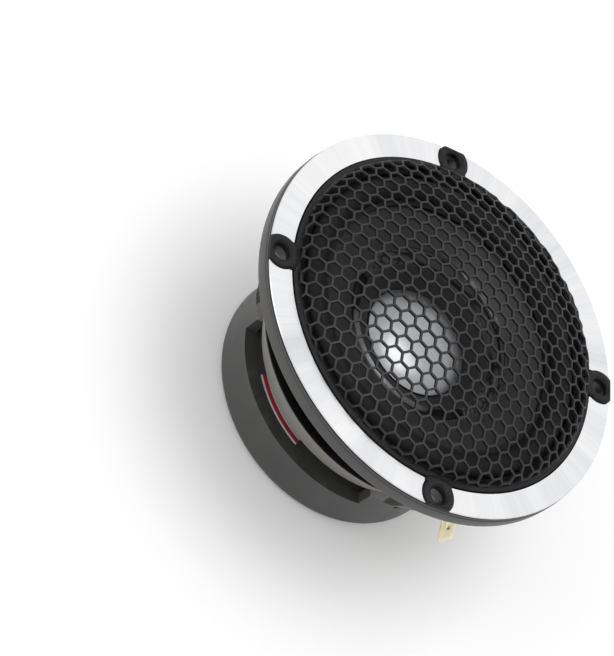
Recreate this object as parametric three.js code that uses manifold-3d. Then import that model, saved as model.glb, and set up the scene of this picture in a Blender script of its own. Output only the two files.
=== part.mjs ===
// Round flange-mounted cone driver for a car door: cast basket, bright trim ring,
// domed hexagonal grille with four screw lugs, cone, dust cap, spider, coil and motor.
// Millimetres. +Z is the axis of the driver, towards the listener. The origin is the
// centre of the flat rear face of the motor, so the whole part stands on z = 0.

import * as THREE from 'three';
import Module from 'manifold-3d';
import { mergeVertices } from 'three/addons/utils/BufferGeometryUtils.js';

const wasm = await Module();
wasm.setup();

// ---------- driving dimensions ----------

const FACE_Z = 50;              // front face of the trim ring
const FLANGE_R = 52;            // outer radius of the flange
const FLANGE_REAR_Z = 45.1;     // rear face of the flange, which rests on the panel
const FLANGE_FRONT_Z = 48.5;    // front face of the cast flange, under the trim ring
const POCKET_Z = 49.1;          // floor of the trim ring's pockets for the grille lugs
const TRIM_INNER_R = 45.3;
const RECESS_R = 45.4;          // recess in the flange for the surround and its gasket
const LANDING_Z = 46.9;         // floor of that recess
const LANDING_INNER_R = 40.9;

const SCREW_CIRCLE_R = 48.5;    // four mounting screws
const SCREW_HOLE_R = 2.2;
const SCREW_RELIEF_R = 3;       // wider part of each hole, from the flange's rear face
const SCREW_RELIEF_TOP_Z = 46.6;
const SCREW_ANGLES = [-135, -45, 45, 135];
const LUG_HEAD_R = 4.5;
const LUG_NECK_HALF = 3.5;
const LUG_OUTER_R = 51.9;
const LUG_CLEARANCE = 0.35;     // between a lug and the cut-out round it
const GRILLE_RING_INNER_R = 43.0;
const GRILLE_RING_OUTER_R = 45.0;
const GRILLE_RING_HEIGHT = 1.4;
const LUG_SINK_R = 3;           // countersink of a lug
const LUG_SINK_DEPTH = 0.7;

const DOME_EDGE_R = 43.7;       // where the grille dome turns down into its rim
const DOME_EDGE_Z = FACE_Z + 2.9;
const DOME_RISE = 7.5;
const GRILLE_SHEET = 0.8;

const CUP_R = 34.8;             // rear cup of the basket, round the motor
const CUP_INNER_R = 31.2;
const CUP_EDGE_RADIUS = 2.8;
const FLOOR_Z = 12.8;           // top of the basket floor and rear edge of the windows
const FLOOR_THICKNESS = 2.2;
const FLOOR_INNER_R = 23.8;
const WALL = 2.8;               // thickness of the cup wall and the spokes
const WINDOW_TOP_Z = 43.6;
const SPOKE_ANGLES = [-147.1, -32.9, 90];
const SPOKE_WIDTH_DEG = 17.4;

const POLE_R = 12.4;
const VENT_R = 3.5;
const BACK_PLATE_THICKNESS = 3.2;
const BACK_PLATE_R = 30.9;
const MAGNET_THICKNESS = 5;
const MAGNET_INNER_R = 17;
const MAGNET_R = 30.4;
const TOP_PLATE_HOLE_R = 14.1;
const TOP_PLATE_HUB_R = 23.5;
const TOP_PLATE_R = 30.6;
const MOTOR_SCREW_CIRCLE_R = 27.4;

const FORMER_INNER_R = 12.85;
const FORMER_R = 13.15;
const FORMER_BOTTOM_Z = 6.4;
const COIL_INNER_R = 13.2;
const COIL_R = 13.75;
const COIL_BOTTOM_Z = 6.7;
const COIL_HEIGHT = 7.6;

const CONE_NECK_R = 13.3;
const CONE_EDGE_R = 34.3;
const CONE_NECK_Z = 34;
const CONE_EDGE_Z = 46.7;
const CONE_THICKNESS = 0.6;
const CAP_R = 14.4;
const CAP_RISE = 3.8;

const ROLL_R = 3.2;             // half roll of the surround
const ROLL_CENTRE_R = 37.6;
const SURROUND_THICKNESS = 0.6;

const HOOP_REAR = [33.0, 17.8]; // outer edges of the hoop that carries the spider
const HOOP_FRONT = [38.2, 27.3];
const HOOP_LEDGE_R = 28.6;
const HOOP_LEDGE_Z = 19.3;
const SPIDER_OUTER_R = 31.2;
const SPIDER_WAVES = 3;
const SPIDER_WAVE_HEIGHT = 1.1;
const SPIDER_THICKNESS = 0.45;

const BOARD_ANGLE = -6.25;      // terminal board, on a pad of the hoop
const BOARD_SIZE = [7.4, 20, 1.2];
const BOARD_CENTRE_R = 35.1;
const TERMINALS = {             // blade: angle, width, length of the bent leg
  positive: { angle: -16.5, width: 4.8, leg: 9.6 },
  negative: { angle: 4, width: 2.8, leg: 8 },
};
const BLADE_THICKNESS = 0.8;
const BLADE_BEND_R = 40.2;
const BLADE_INNER_R = 32.4;
const BLADE_DROP_DEG = 46;
const TAB_RIVET_R = 34.7;

const LARGE = 56;               // sides of the large circles
const MEDIUM = 36;
const SMALL = 16;

// ---------- helpers ----------

const rad = THREE.MathUtils.degToRad;
const v2 = (r, z) => new THREE.Vector2(r, z);

// A closed triangle mesh as a solid, with its faces turned outwards.
function solid(geometry) {
  const bare = geometry.clone();
  for (const name of Object.keys(bare.attributes)) {
    if (name !== 'position') bare.deleteAttribute(name);
  }
  const merged = mergeVertices(bare, 1e-4);
  const p = merged.attributes.position;
  const index = merged.index.array;
  const corners = [0, 1, 2].map(() => new THREE.Vector3());
  const kept = [];
  let volume = 0;
  for (let i = 0; i < index.length; i += 3) {
    const [a, b, c] = index.slice(i, i + 3);
    if (a === b || b === c || c === a) continue;
    kept.push(a, b, c);
    [a, b, c].forEach((vertex, k) => corners[k].fromBufferAttribute(p, vertex));
    volume += corners[0].dot(corners[1].clone().cross(corners[2]));
  }
  if (volume < 0) {
    for (let i = 0; i < kept.length; i += 3) {
      [kept[i], kept[i + 1]] = [kept[i + 1], kept[i]];
    }
  }
  const mesh = new wasm.Mesh({
    numProp: 3,
    vertProperties: new Float32Array(p.array),
    triVerts: new Uint32Array(kept),
  });
  return new wasm.Manifold(mesh);
}

function toGeometry(manifold) {
  const mesh = manifold.getMesh();
  const geometry = new THREE.BufferGeometry();
  geometry.setAttribute('position', new THREE.BufferAttribute(new Float32Array(mesh.vertProperties), 3));
  geometry.setIndex(new THREE.BufferAttribute(new Uint32Array(mesh.triVerts), 1));
  geometry.computeVertexNormals();
  return geometry;
}

// A solid of revolution about Z from (radius, height) points; a ring's outline is closed here.
function turned(points, sides = LARGE) {
  const outline = points.map(([r, z]) => v2(r, z));
  const startsOnAxis = points[0][0] === 0 && points.at(-1)[0] === 0;
  if (!startsOnAxis) outline.push(outline[0].clone());
  return solid(new THREE.LatheGeometry(outline, sides).rotateX(Math.PI / 2));
}

const tube = (inner, outer, low, high, sides) =>
  turned([[inner, low], [outer, low], [outer, high], [inner, high]], sides);

const disc = (radius, low, high, sides) => turned([[0, low], [radius, low], [radius, high], [0, high]], sides);

// An outline in XY, extruded upwards from a height.
function raised(shape, low, height, curveSegments = 12) {
  const geometry = new THREE.ExtrudeGeometry(shape, { depth: height, bevelEnabled: false, curveSegments });
  return solid(geometry.translate(0, 0, low));
}

// Part of a ring between two angles in degrees.
function sector(inner, outer, from, to, low, high) {
  const shape = new THREE.Shape();
  shape.absarc(0, 0, outer, rad(from), rad(to), false);
  shape.absarc(0, 0, inner, rad(to), rad(from), true);
  shape.closePath();
  return raised(shape, low, high - low, 16);
}

function box(size, centre, turn = 0) {
  const geometry = new THREE.BoxGeometry(...size).translate(...centre).rotateZ(rad(turn));
  return solid(geometry);
}

// The same solid at a radius and angle round the axis.
const atAngle = (manifold, radius, angle) => manifold.translate([radius, 0, 0]).rotate([0, 0, angle]);

const arc = (cr, cz, radius, from, to, steps) =>
  Array.from({ length: steps + 1 }, (_, i) => {
    const t = rad(from + ((to - from) * i) / steps);
    return [cr + radius * Math.cos(t), cz + radius * Math.sin(t)];
  });

const curve = (points, steps) =>
  new THREE.CatmullRomCurve3(points.map(([r, z]) => new THREE.Vector3(r, z, 0)))
    .getPoints(steps)
    .map((p) => [p.x, p.y]);

const group = new THREE.Group();

function add(name, geometry, colour, roughness, metalness) {
  const shape = geometry.isBufferGeometry ? geometry : toGeometry(geometry);
  const material = new THREE.MeshStandardMaterial({ color: colour, roughness, metalness });
  const mesh = new THREE.Mesh(shape, material);
  mesh.name = name;
  group.add(mesh);
}

// ---------- basket: one casting of flange, spokes, hoop and rear cup ----------

const floorUnderZ = FLOOR_Z - FLOOR_THICKNESS;
const wallInnerR = CUP_R - WALL;

function basketShell() {
  const bowlOutside = curve([[CUP_R, 18.4], [41.2, 27.3], [44.3, 36.5], [44.8, WINDOW_TOP_Z]], 6);
  const bowlInside = curve([[42, 43.2], [41.5, 37], [38.5, 28.5], [wallInnerR, 19]], 6);
  return turned([
    [CUP_INNER_R, 0],
    ...arc(CUP_R - CUP_EDGE_RADIUS, CUP_EDGE_RADIUS, CUP_EDGE_RADIUS, -90, 0, 3),
    [CUP_R, FLOOR_Z],
    ...bowlOutside,
    [45.2, FLANGE_REAR_Z],
    [FLANGE_R, FLANGE_REAR_Z],
    [FLANGE_R, FLANGE_FRONT_Z - 0.5],
    [FLANGE_R - 0.5, FLANGE_FRONT_Z],
    [RECESS_R, FLANGE_FRONT_Z],
    [RECESS_R, LANDING_Z],
    [LANDING_INNER_R, LANDING_Z],
    [LANDING_INNER_R, FLANGE_REAR_Z],
    ...bowlInside,
    [wallInnerR, FLOOR_Z],
    [FLOOR_INNER_R, FLOOR_Z],
    [FLOOR_INNER_R, floorUnderZ],
    [CUP_INNER_R, floorUnderZ],
  ]);
}

function hoop() {
  const [rearR, rearZ] = HOOP_REAR;
  const [frontR, frontZ] = HOOP_FRONT;
  const ring = turned([
    [HOOP_LEDGE_R, rearZ],
    [rearR, rearZ],
    [frontR, frontZ],
    [frontR - 2, frontZ],
    [rearR - 1.1, HOOP_LEDGE_Z],
    [HOOP_LEDGE_R, HOOP_LEDGE_Z],
  ]);
  const pad = box([4.6, 7, 2.4], [frontR - 2.4, 0, frontZ - 1.2], BOARD_ANGLE);
  return ring.add(pad);
}

const screwHole = (radius, low, high) => disc(radius, low, high, SMALL);

function basket() {
  let casting = basketShell();
  const half = SPOKE_WIDTH_DEG / 2;
  SPOKE_ANGLES.forEach((spoke, i) => {
    const next = SPOKE_ANGLES[(i + 1) % SPOKE_ANGLES.length];
    const end = next > spoke ? next : next + 360;
    const opening = sector(wallInnerR - 0.5, FLANGE_R, spoke + half, end - half, FLOOR_Z, WINDOW_TOP_Z);
    casting = casting.subtract(opening);
  });
  casting = casting.add(hoop());
  for (const angle of SCREW_ANGLES) {
    const hole = screwHole(SCREW_HOLE_R, 40, FACE_Z).add(screwHole(SCREW_RELIEF_R, 40, SCREW_RELIEF_TOP_Z));
    casting = casting.subtract(atAngle(hole, SCREW_CIRCLE_R, angle));
  }
  for (const angle of SPOKE_ANGLES) {
    casting = casting.subtract(atAngle(screwHole(1.7, 9, FLOOR_Z + 1), MOTOR_SCREW_CIRCLE_R, angle));
  }
  const boardRivetHole = screwHole(1.1, 20, HOOP_FRONT[1] + 1);
  return casting.subtract(atAngle(boardRivetHole, BOARD_CENTRE_R + 0.6, BOARD_ANGLE));
}

add('basket', basket(), 0x5d5d5b, 0.55, 0.6);

// ---------- trim ring and grille ----------

// A lug as seen from the front: a round head on a flaring neck, along +X.
function lugShape(margin = 0) {
  const head = LUG_HEAD_R + margin;
  const neck = LUG_NECK_HALF + margin;
  const shape = new THREE.Shape();
  const tail = GRILLE_RING_OUTER_R - 1;
  shape.moveTo(tail, -neck - 1.6);
  shape.quadraticCurveTo(tail + 1.4, -neck, tail + 2.4, -neck);
  const joint = Math.asin(neck / head);
  shape.absarc(SCREW_CIRCLE_R, 0, head, -Math.PI + joint, Math.PI - joint, false);
  shape.lineTo(tail + 2.4, neck);
  shape.quadraticCurveTo(tail + 1.4, neck, tail, neck + 1.6);
  shape.closePath();
  return shape;
}

function trimRing() {
  let ring = tube(TRIM_INNER_R, FLANGE_R - 0.2, FLANGE_FRONT_Z, FACE_Z);
  for (const angle of SCREW_ANGLES) {
    const pocket = raised(lugShape(LUG_CLEARANCE), POCKET_Z, 4).rotate([0, 0, angle]);
    const hole = atAngle(screwHole(SCREW_HOLE_R, FLANGE_FRONT_Z - 1, FACE_Z), SCREW_CIRCLE_R, angle);
    ring = ring.subtract(pocket).subtract(hole);
  }
  return ring;
}

function grilleRing() {
  const low = POCKET_Z + 0.05;
  const high = low + GRILLE_RING_HEIGHT;
  let ring = tube(GRILLE_RING_INNER_R, GRILLE_RING_OUTER_R, low, high);
  const edge = disc(LUG_OUTER_R, low - 1, high + 1);
  const sink = turned([
    [0, low - 1],
    [SCREW_HOLE_R + 0.1, low - 1],
    [SCREW_HOLE_R + 0.1, high - LUG_SINK_DEPTH],
    [LUG_SINK_R, high],
    [LUG_SINK_R, high + 1],
    [0, high + 1],
  ], SMALL);
  for (const angle of SCREW_ANGLES) {
    const lug = raised(lugShape(), low, GRILLE_RING_HEIGHT).rotate([0, 0, angle]);
    ring = ring.add(lug.intersect(edge)).subtract(atAngle(sink, SCREW_CIRCLE_R, angle));
  }
  const bore = disc(GRILLE_RING_INNER_R, low - 1, high + 1);
  return ring.subtract(bore);
}

function grilleMesh() {
  const domeZ = (r) => DOME_EDGE_Z + DOME_RISE * (1 - (r / DOME_EDGE_R) ** 2);
  const rings = [0, 12, 22, 31, 38, 42.4];
  const outside = rings.map((r) => [r, domeZ(r)]);
  const inside = rings.map((r) => [r, domeZ(r) - GRILLE_SHEET]);
  const rim = [[DOME_EDGE_R, DOME_EDGE_Z - 0.7], [DOME_EDGE_R + 0.3, FACE_Z + 0.6]];
  const rimInside = rim.map(([r, z]) => [r - GRILLE_SHEET, z]);
  return turned([...outside, ...rim, ...rimInside.reverse(), ...inside.reverse()], MEDIUM);
}

add('trim_ring', trimRing(), 0xe8e9ea, 0.3, 0.9);
add('grille_ring', grilleRing(), 0x26272a, 0.5, 0.2);
add('grille_mesh', grilleMesh(), 0x1b1c1e, 0.5, 0.5);
add('front_gasket', tube(41.2, 45.0, LANDING_Z + 0.65, POCKET_Z), 0x1c1c1c, 0.95, 0);

// ---------- cone, dust cap, surround ----------

const coneZ = (r) => {
  const t = (r - CONE_NECK_R) / (CONE_EDGE_R - CONE_NECK_R);
  return CONE_NECK_Z + (CONE_EDGE_Z - CONE_NECK_Z) * Math.sqrt(Math.max(t, 0));
};

function cone() {
  const radii = [CONE_NECK_R, 13.8, 15.2, 18.5, 23, 28.5, CONE_EDGE_R];
  const front = radii.map((r) => [r, coneZ(r)]);
  const back = radii.map((r) => [r, coneZ(r) - CONE_THICKNESS]);
  return turned([...back, ...front.reverse()], MEDIUM);
}

function dustCap() {
  const baseZ = coneZ(CAP_R) + 0.3;
  const capZ = (r) => baseZ + CAP_RISE * (1 - (r / CAP_R) ** 2);
  const radii = [0, 4, 8, 11.5, CAP_R];
  const front = radii.map((r) => [r, capZ(r) + 0.4]);
  const back = radii.map((r) => [r, capZ(r)]);
  return turned([...back, ...front.reverse()], MEDIUM);
}

function surround() {
  const footZ = LANDING_Z + SURROUND_THICKNESS;
  const outer = arc(ROLL_CENTRE_R, footZ, ROLL_R, 0, 180, 6);
  const inner = arc(ROLL_CENTRE_R, footZ - 0.1, ROLL_R - SURROUND_THICKNESS, 180, 0, 6);
  return turned([
    [45, LANDING_Z],
    [45, footZ],
    ...outer,
    [33.2, footZ],
    [33.2, LANDING_Z],
    [ROLL_CENTRE_R - ROLL_R + SURROUND_THICKNESS, LANDING_Z],
    ...inner,
    [ROLL_CENTRE_R + ROLL_R - SURROUND_THICKNESS, LANDING_Z],
  ], MEDIUM);
}

add('cone', cone(), 0x121315, 0.3, 0.1);
add('dust_cap', dustCap(), 0xc4c6c9, 0.4, 0.8);
add('surround', surround(), 0x151515, 0.6, 0);

// ---------- coil and spider ----------

function spider() {
  const start = FORMER_R + 0.15;
  const footZ = HOOP_LEDGE_Z + 0.05;
  const steps = SPIDER_WAVES * 3;
  const line = Array.from({ length: steps + 1 }, (_, i) => {
    const t = i / steps;
    const wave = Math.sin(2 * Math.PI * SPIDER_WAVES * t);
    return [start + 0.6 + (HOOP_LEDGE_R - start - 0.8) * t, footZ + 0.35 + SPIDER_WAVE_HEIGHT * wave];
  });
  const path = [[start, footZ + 0.35], ...line, [HOOP_LEDGE_R + 0.4, footZ], [SPIDER_OUTER_R, footZ]];
  const back = path;
  const front = path.map(([r, z]) => [r, z + SPIDER_THICKNESS]).reverse();
  return turned([...back, ...front], 28);
}

const former = tube(FORMER_INNER_R, FORMER_R, FORMER_BOTTOM_Z, CONE_NECK_Z, MEDIUM);
const coil = tube(COIL_INNER_R, COIL_R, COIL_BOTTOM_Z, COIL_BOTTOM_Z + COIL_HEIGHT, MEDIUM);
add('coil_former', former, 0xb58a4a, 0.6, 0);
add('voice_coil', coil, 0xb4632f, 0.4, 0.8);
add('spider', spider(), 0x2a2824, 0.9, 0);

// ---------- motor ----------

const magnetBottom = BACK_PLATE_THICKNESS;
const magnetTop = magnetBottom + MAGNET_THICKNESS;

function backPlate() {
  return turned([
    [VENT_R + 1.2, 0],
    [BACK_PLATE_R - 0.4, 0],
    [BACK_PLATE_R, 0.4],
    [BACK_PLATE_R, magnetBottom],
    [POLE_R, magnetBottom],
    [POLE_R, FLOOR_Z],
    [POLE_R - 0.6, FLOOR_Z + 0.6],
    [VENT_R, FLOOR_Z + 0.6],
    [VENT_R, 1.2],
  ], MEDIUM);
}

function topPlate() {
  let plate = turned([
    [TOP_PLATE_HOLE_R, magnetTop],
    [TOP_PLATE_R, magnetTop],
    [TOP_PLATE_R, floorUnderZ],
    [TOP_PLATE_HUB_R, floorUnderZ],
    [TOP_PLATE_HUB_R, FLOOR_Z],
    [TOP_PLATE_HOLE_R, FLOOR_Z],
  ], MEDIUM);
  for (const angle of SPOKE_ANGLES) {
    plate = plate.subtract(atAngle(screwHole(1.55, magnetTop - 1, FLOOR_Z), MOTOR_SCREW_CIRCLE_R, angle));
  }
  return plate;
}

// Pan head and shank, with the underside of the head at z = 0.
function fastener(headR, headHeight, shankR, shankLength, recessR, recessDepth) {
  const body = turned([
    [0, -shankLength],
    [shankR, -shankLength],
    [shankR, 0],
    [headR, 0],
    [headR, headHeight * 0.6],
    [headR * 0.7, headHeight],
    [0, headHeight],
  ], 16);
  return recessR > 0 ? body.subtract(disc(recessR, headHeight - recessDepth, headHeight + 1, 6)) : body;
}

function place(name, manifold, radius, angle, z, colour, roughness, metalness) {
  add(name, atAngle(manifold.translate([0, 0, z]), radius, angle), colour, roughness, metalness);
}

add('back_plate', backPlate(), 0x9a9c9e, 0.35, 0.9);
add('magnet', tube(MAGNET_INNER_R, MAGNET_R, magnetBottom, magnetTop, MEDIUM), 0x2c2c2e, 0.7, 0.3);
add('top_plate', topPlate(), 0x1d1e20, 0.5, 0.5);
SPOKE_ANGLES.forEach((angle, i) => {
  const screw = fastener(2.7, 1.6, 1.35, 4.2, 1.3, 0.9);
  place(`motor_screw_${i + 1}`, screw, MOTOR_SCREW_CIRCLE_R, angle, FLOOR_Z, 0x8d8f92, 0.35, 0.9);
});
add('motor_label', sector(26.4, 30.8, -117, -80, FLOOR_Z, FLOOR_Z + 0.2), 0xa8323a, 0.5, 0);

// ---------- terminals and tinsel leads ----------

const boardZ = HOOP_FRONT[1];
const bladeZ = boardZ + BOARD_SIZE[2];

function terminalBoard() {
  let board = box(BOARD_SIZE, [BOARD_CENTRE_R, 0, boardZ + BOARD_SIZE[2] / 2], BOARD_ANGLE);
  const hole = screwHole(1.1, boardZ - 1, bladeZ + 1);
  board = board.subtract(atAngle(hole, BOARD_CENTRE_R + 0.6, BOARD_ANGLE));
  for (const { angle } of Object.values(TERMINALS)) {
    board = board.subtract(atAngle(screwHole(0.95, boardZ - 1, bladeZ + 1), TAB_RIVET_R, angle));
  }
  return board;
}

// A push-on blade: flat on the board, then bent outwards and to the rear.
function blade({ angle, width, leg }) {
  const drop = rad(BLADE_DROP_DEG);
  const out = leg * Math.cos(drop);
  const down = leg * Math.sin(drop);
  const nx = BLADE_THICKNESS * Math.sin(drop);
  const nz = BLADE_THICKNESS * Math.cos(drop);
  const profile = new THREE.Shape([
    v2(BLADE_INNER_R, bladeZ),
    v2(BLADE_BEND_R, bladeZ),
    v2(BLADE_BEND_R + out, bladeZ - down),
    v2(BLADE_BEND_R + out + nx, bladeZ - down + nz),
    v2(BLADE_BEND_R + nx * 0.6, bladeZ + BLADE_THICKNESS),
    v2(BLADE_INNER_R, bladeZ + BLADE_THICKNESS),
  ]);
  const geometry = new THREE.ExtrudeGeometry(profile, { depth: width, bevelEnabled: false });
  geometry.translate(0, 0, -width / 2).rotateX(Math.PI / 2);
  const along = leg * 0.62;
  const eye = disc(0.75, -2, 2, 12)
    .rotate([0, BLADE_DROP_DEG, 0])
    .translate([BLADE_BEND_R + along * Math.cos(drop), 0, bladeZ - along * Math.sin(drop)]);
  const rivetHole = screwHole(0.95, bladeZ - 1, bladeZ + 2).translate([TAB_RIVET_R, 0, 0]);
  return solid(geometry).subtract(eye).subtract(rivetHole).rotate([0, 0, angle]);
}

// A braided lead from the inner end of a blade to the back of the cone.
function tinselLead(angle) {
  const route = [
    [32.9, 30.2], [29.5, 29.6], [25.5, 28.9], [22, 29.6], [19.4, 31.8], [18.1, 34.6], [17.9, 37.6],
  ];
  const path = new THREE.CatmullRomCurve3(route.map(([r, z]) => new THREE.Vector3(r, 0, z)));
  const section = new THREE.Shape();
  section.absarc(0, 0, 0.45, 0, 2 * Math.PI, false);
  const geometry = new THREE.ExtrudeGeometry(section, {
    steps: 22,
    extrudePath: path,
    curveSegments: 4,
    bevelEnabled: false,
  });
  return solid(geometry.rotateZ(rad(angle)));
}

add('terminal_board', terminalBoard(), 0x2a211a, 0.8, 0);
const boardRivet = fastener(2, 0.9, 0.9, 3, 0, 0);
place('board_rivet', boardRivet, BOARD_CENTRE_R + 0.6, BOARD_ANGLE, bladeZ, 0xb9babc, 0.35, 0.9);
for (const [name, terminal] of Object.entries(TERMINALS)) {
  const rivet = fastener(1.5, 0.7, 0.75, 2.4, 0, 0);
  add(`terminal_${name}`, blade(terminal), 0xd9c58b, 0.3, 0.9);
  const rivetZ = bladeZ + BLADE_THICKNESS;
  place(`terminal_rivet_${name}`, rivet, TAB_RIVET_R, terminal.angle, rivetZ, 0xb9babc, 0.35, 0.9);
  add(`tinsel_lead_${name}`, tinselLead(terminal.angle), 0xb0703a, 0.5, 0.6);
}

export default group;
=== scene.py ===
# %% [markdown]
# # A car door driver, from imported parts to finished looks
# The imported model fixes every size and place. This lesson gives each piece its finished
# shape and surface, in the same frame, in metres: +Z is the driver's axis, and the part
# stands on z = 0. Most of the driver is round, so most pieces are a profile that is drawn
# point by point and spun about the axis, as a turner would cut it.

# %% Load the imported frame
import math
from contextlib import contextmanager

import bpy
import numpy as np
from mathutils import Matrix, Vector


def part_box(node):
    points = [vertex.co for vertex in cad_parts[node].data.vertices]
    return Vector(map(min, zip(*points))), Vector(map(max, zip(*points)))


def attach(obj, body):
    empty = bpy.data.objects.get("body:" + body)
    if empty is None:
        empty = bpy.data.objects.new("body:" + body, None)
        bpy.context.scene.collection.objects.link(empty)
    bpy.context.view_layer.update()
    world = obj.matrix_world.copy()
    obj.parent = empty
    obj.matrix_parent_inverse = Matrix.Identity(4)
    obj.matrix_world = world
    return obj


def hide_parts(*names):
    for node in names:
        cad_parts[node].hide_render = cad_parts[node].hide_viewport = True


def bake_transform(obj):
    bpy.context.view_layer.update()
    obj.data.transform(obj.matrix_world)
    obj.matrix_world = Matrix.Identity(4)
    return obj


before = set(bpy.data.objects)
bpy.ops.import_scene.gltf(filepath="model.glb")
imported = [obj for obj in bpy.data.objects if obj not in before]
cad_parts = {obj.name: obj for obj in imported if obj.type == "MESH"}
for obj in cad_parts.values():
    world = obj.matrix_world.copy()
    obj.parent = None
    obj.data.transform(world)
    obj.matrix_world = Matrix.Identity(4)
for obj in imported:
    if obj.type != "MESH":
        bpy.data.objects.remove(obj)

MM = 0.001
TURN = 2 * math.pi
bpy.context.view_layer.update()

# %% [markdown]
# ## Camera
# The driver is seen from in front and above, leaning over to the right. The camera looks
# down at the flange from its front side, and is rolled, so that the axis points to the
# upper right of the view. A Track To constraint leaves no way to roll it, so its turn is
# worked out as a matrix. A long lens keeps the ring's near and far sides alike. The camera
# comes first, because every later choice of detail depends on what it sees.

# %% Place the camera
CAMERA_AZIMUTH = math.radians(4.9)
CAMERA_HEIGHT = math.radians(46.16)
CAMERA_ROLL = math.radians(53.8)
CAMERA_DISTANCE = 658.8 * MM
RING_RIGHT_OF_CENTRE = 34.11 * MM
RING_ABOVE_CENTRE = 1.57 * MM
LENS = 147.1


def make_camera(ring_centre):
    """Looks down at the ring from the front, rolled about its own view."""
    back = Vector((
        math.sin(CAMERA_AZIMUTH) * math.cos(CAMERA_HEIGHT),
        -math.cos(CAMERA_AZIMUTH) * math.cos(CAMERA_HEIGHT),
        math.sin(CAMERA_HEIGHT),
    ))
    level = (-back).to_track_quat("-Z", "Y").to_matrix()
    turned = level @ Matrix.Rotation(CAMERA_ROLL, 3, "Z")
    to_ring = Vector((RING_RIGHT_OF_CENTRE, RING_ABOVE_CENTRE, -CAMERA_DISTANCE))
    bpy.ops.object.camera_add()
    camera = bpy.context.object
    camera.matrix_world = Matrix.Translation(ring_centre - turned @ to_ring) @ turned.to_4x4()
    camera.data.lens = LENS
    camera.data.clip_start = 0.05
    camera.data.clip_end = 10
    bpy.context.scene.camera = camera
    return camera


trim_low, trim_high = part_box("trim_ring")
camera = make_camera(Vector((0, 0, trim_high.z)))
print("camera at", [round(x, 3) for x in camera.location])

# %% [markdown]
# ## Tools for round pieces
# A profile is drawn in the XZ plane: a plane is merged to one vertex, which is moved to the
# first point, and each next point is extruded from the last. Spin then sweeps it round the
# axis, the seam is merged, and the normals are made to point out. Every piece that is
# turned, pressed or moulded round comes from this one tool, so its edges stay even.

# %% Select, edit and smooth
SMOOTH_ANGLE = math.radians(32)
MERGE_DISTANCE = 2e-6


def only(piece):
    """Makes this the one selected and active object."""
    bpy.ops.object.select_all(action="DESELECT")
    piece.select_set(True)
    bpy.context.view_layer.objects.active = piece


@contextmanager
def editing(piece, select="SELECT"):
    """Edit mode on this piece, with all or none of its mesh selected, or what was before."""
    only(piece)
    bpy.ops.object.mode_set(mode="EDIT")
    if select:
        bpy.ops.mesh.select_all(action=select)
    yield
    bpy.ops.object.mode_set(mode="OBJECT")


def smooth(piece, angle=SMOOTH_ANGLE):
    """Smooth shading, except where faces meet at more than the angle."""
    only(piece)
    bpy.ops.object.shade_smooth_by_angle(angle=angle)
    return piece


def tidy(piece, angle=SMOOTH_ANGLE):
    """Merges doubles, turns the faces outwards and smooths the shading."""
    with editing(piece):
        bpy.ops.mesh.remove_doubles(threshold=MERGE_DISTANCE)
        bpy.ops.mesh.normals_make_consistent(inside=False)
    return smooth(piece, angle)


print("edges stay crisp above", round(math.degrees(SMOOTH_ANGLE)), "degrees")


# %% Apply a modifier
def modify(piece, kind, **settings):
    """Adds a modifier with these settings and applies it."""
    only(piece)
    bpy.ops.object.modifier_add(type=kind)
    modifier = piece.modifiers[-1]
    for name, value in settings.items():
        setattr(modifier, name, value)
    bpy.ops.object.modifier_apply(modifier=modifier.name)


# %% Draw a profile and spin it
def draw(name, points):
    """A line of vertices in the XZ plane through (radius, height) points in millimetres."""
    bpy.ops.object.select_all(action="DESELECT")
    bpy.ops.mesh.primitive_plane_add(size=MM)
    piece = bpy.context.object
    piece.name = name
    piece.data.name = name
    with editing(piece):
        bpy.ops.mesh.merge(type="CENTER")
        last = (0, 0)
        for i, point in enumerate(points):
            step = ((point[0] - last[0]) * MM, 0, (point[1] - last[1]) * MM)
            if i == 0:
                bpy.ops.transform.translate(value=step)
            else:
                bpy.ops.mesh.extrude_vertices_move(TRANSFORM_OT_translate={"value": step})
            last = point
    return piece


def spun(name, points, steps=144, closed=True):
    """A profile swept round the axis. A ring's profile is closed here."""
    piece = draw(name, list(points) + ([points[0]] if closed else []))
    with editing(piece):
        bpy.ops.mesh.spin(steps=steps, angle=TURN, center=(0, 0, 0), axis=(0, 0, 1))
    return tidy(piece)


# %% Rounded corners and smooth lines for profiles
def arc(centre_r, centre_z, radius, start, end, steps):
    """Profile points on an arc, with angles in degrees."""
    angles = [math.radians(start + (end - start) * i / steps) for i in range(steps + 1)]
    return [(centre_r + radius * math.cos(a), centre_z + radius * math.sin(a)) for a in angles]


def eased(points, steps):
    """A smooth line through points, by Catmull and Rom's rule, ends included."""
    p = [np.array(q, float) for q in [points[0], *points, points[-1]]]
    line = []
    for a, b, c, d in zip(p, p[1:], p[2:], p[3:]):
        for t in np.arange(steps) / steps:
            line.append(0.5 * (2 * b + (c - a) * t + (2 * a - 5 * b + 4 * c - d) * t**2
                               + (3 * b - a - 3 * c + d) * t**3))
    return [tuple(map(float, q)) for q in line + [p[-1]]]


# %% Join and copy
def join(name, *parts):
    """Several meshes as one object."""
    only(parts[0])
    for part in parts[1:]:
        part.select_set(True)
    bpy.ops.object.join()
    parts[0].name = name
    parts[0].data.name = name
    return parts[0]


def turned_copy(piece, degrees):
    """A copy with its own mesh, turned about the driver's axis."""
    copy = piece.copy()
    copy.data = piece.data.copy()
    bpy.context.collection.objects.link(copy)
    copy.data.transform(Matrix.Rotation(math.radians(degrees), 4, "Z"))
    return copy


def around(name, piece, angles):
    """One copy of a piece at each angle round the axis, joined. The first piece is used up."""
    copies = [turned_copy(piece, angle) for angle in angles]
    bpy.data.objects.remove(piece)
    return join(name, *copies)


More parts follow.
